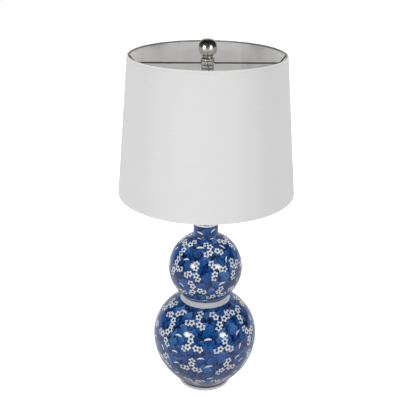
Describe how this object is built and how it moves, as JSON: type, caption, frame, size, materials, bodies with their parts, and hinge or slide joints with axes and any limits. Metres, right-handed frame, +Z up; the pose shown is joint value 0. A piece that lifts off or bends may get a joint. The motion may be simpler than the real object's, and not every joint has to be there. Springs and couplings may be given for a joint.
{
  "type": "table lamp",
  "caption": "Table lamp with a double gourd body in blue glaze with white blossoms, nickel fittings and ball finial, and a white tapered drum shade on a harp.",
  "frame": {"origin": "centre of the foot, on the table", "axes": "+Z up along the lamp's axis, the switch knob points to -Y (front), the cord inlet is at +Y (back)"},
  "size_m": [0.3564, 0.3564, 0.7596],
  "materials": {
    "blue_glaze": "cobalt blue under clear gloss glaze, white blossoms",
    "felt": "dark green-black felt",
    "black_rubber": "matt",
    "steel_pipe": "zinc plated thread",
    "plain_steel": "zinc plated",
    "nickel": "polished to satin nickel plate",
    "insulating_card": "fibre card",
    "dark_moulding": "phenolic moulding",
    "brass_contact": "bare",
    "black_plastic": "moulded",
    "frosted_glass": "frosted inside",
    "bulb_aluminium": "bright",
    "solder": "tinned",
    "dark_wire": "dark plated wire",
    "white_fabric": "fine plain weave on a stiff backing",
    "white_liner": "styrene lining",
    "white_tape": "folded fabric tape"
  },
  "bodies": {
    "base": {"gourd_body": "blue_glaze", "felt_pad": "felt", "cord_bush": "black_rubber", "lamp_pipe": "steel_pipe", "base_seal": "black_rubber", "base_washer": "plain_steel", "base_lock_washer": "plain_steel", "base_nut": "plain_steel", "vase_cap": "nickel", "neck_tube": "nickel", "harp_saddle": "nickel", "harp_loop": "nickel", "harp_plate": "nickel", "harp_stud": "nickel", "socket_cap": "nickel", "socket_set_screw": "plain_steel", "socket_shell": "nickel", "socket_paper_sleeve": "insulating_card", "socket_insulator": "dark_moulding", "terminal_screws": "brass_contact", "screw_shell": "brass_contact", "centre_contact": "brass_contact"},
    "shade": {"shade_fabric": "white_fabric", "shade_liner": "white_liner", "shade_top_ring": "dark_wire", "shade_bottom_ring": "dark_wire", "shade_top_trim": "white_tape", "shade_bottom_trim": "white_tape", "spider_hub": "nickel", "spider_arms": "dark_wire"},
    "finial": {"finial_knob": "nickel", "finial_bushing": "brass_contact"},
    "ferrule_l": {"ferrule_left": "nickel"},
    "ferrule_r": {"ferrule_right": "nickel"},
    "switch": {"switch_shaft": "plain_steel", "switch_knob": "black_plastic"},
    "bulb": {"bulb_glass": "frosted_glass", "bulb_base": "bulb_aluminium", "bulb_tip": "solder"}
  },
  "joints": [
    {"name": "shade_turn", "type": "hinge", "parent": "base", "child": "shade", "pos_m": [0, 0, 0.71089], "axis": [0, 0, 1], "continuous": true},
    {"name": "finial_turn", "type": "hinge", "parent": "base", "child": "finial", "pos_m": [0, 0, 0.72339], "axis": [0, 0, 1], "continuous": true},
    {"name": "ferrule_left_lift", "type": "slide", "parent": "base", "child": "ferrule_l", "axis": [0, 0, 1], "range_m": [0, 0.02]},
    {"name": "ferrule_right_lift", "type": "slide", "parent": "base", "child": "ferrule_r", "axis": [0, 0, 1], "range_m": [0, 0.02]},
    {"name": "switch_turn", "type": "hinge", "parent": "base", "child": "switch", "pos_m": [0, -0.0146, 0.48249], "axis": [0, -1, 0], "continuous": true},
    {"name": "bulb_turn", "type": "hinge", "parent": "base", "child": "bulb", "pos_m": [0, 0, 0.49799], "axis": [0, 0, 1], "continuous": true}
  ]
}
